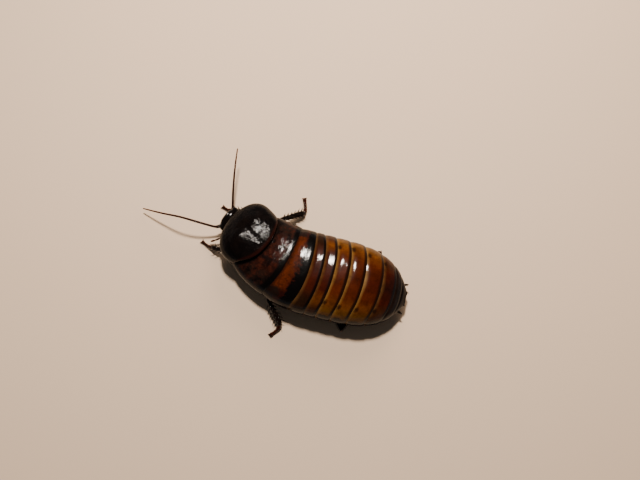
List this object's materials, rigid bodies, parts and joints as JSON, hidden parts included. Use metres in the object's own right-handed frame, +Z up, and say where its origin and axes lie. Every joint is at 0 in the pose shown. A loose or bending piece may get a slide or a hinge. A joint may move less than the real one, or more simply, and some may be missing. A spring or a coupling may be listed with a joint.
{
  "type": "madagascar hissing cockroach",
  "caption": "Wingless, broad, flat-bellied insect with a domed shield over the head, overlapping back plates, spiny legs and thin feelers, shown standing still.",
  "frame": {"origin": "on the floor, under the middle of the whole object's bounding box", "axes": "+X runs forward along the abdomen, towards the head and the forward feeler, +Y to the animal's left, +Z up. The thorax and head turn to the animal's right."},
  "size_m": [0.0986, 0.0614, 0.0129],
  "materials": {
    "black_shell": "glossy black cuticle, finely wrinkled on the shield",
    "mahogany_plates": "glossy dark mahogany cuticle",
    "amber_plates": "glossy orange brown cuticle, amber at the flanks",
    "underside": "satin reddish brown cuticle",
    "eyes": "black, polished",
    "feelers": "satin dark red brown",
    "feet": "satin dark brown"
  },
  "bodies": {
    "root": {"antenna_left": "feelers", "antenna_right": "feelers", "cercus_left": "black_shell", "cercus_right": "black_shell", "coxa_front_left": "black_shell", "coxa_front_right": "black_shell", "coxa_hind_left": "black_shell", "coxa_hind_right": "black_shell", "coxa_middle_left": "black_shell", "coxa_middle_right": "black_shell", "epiproct": "black_shell", "eye_left": "eyes", "eye_right": "eyes", "femur_front_left": "black_shell", "femur_front_right": "black_shell", "femur_hind_left": "black_shell", "femur_hind_right": "black_shell", "femur_middle_left": "black_shell", "femur_middle_right": "black_shell", "head": "black_shell", "labial_palp_left": "feelers", "labial_palp_right": "feelers", "lip": "black_shell", "maxillary_palp_left": "feelers", "maxillary_palp_right": "feelers", "mesonotum": "mahogany_plates", "mesosternum": "underside", "metanotum": "amber_plates", "metasternum": "underside", "pronotum": "black_shell", "prosternum": "underside", "sternite_2": "underside", "sternite_3": "underside", "sternite_4": "underside", "sternite_5": "underside", "sternite_6": "underside", "sternite_7": "underside", "tarsus_front_left": "feet", "tarsus_front_right": "feet", "tarsus_hind_left": "feet", "tarsus_hind_right": "feet", "tarsus_middle_left": "feet", "tarsus_middle_right": "feet", "tergite_1": "mahogany_plates", "tergite_2": "mahogany_plates", "tergite_3": "amber_plates", "tergite_4": "amber_plates", "tergite_5": "amber_plates", "tergite_6": "mahogany_plates", "tergite_7": "black_shell", "tibia_front_left": "black_shell", "tibia_front_right": "black_shell", "tibia_hind_left": "black_shell", "tibia_hind_right": "black_shell", "tibia_middle_left": "black_shell", "tibia_middle_right": "black_shell"}
  },
  "joints": []
}
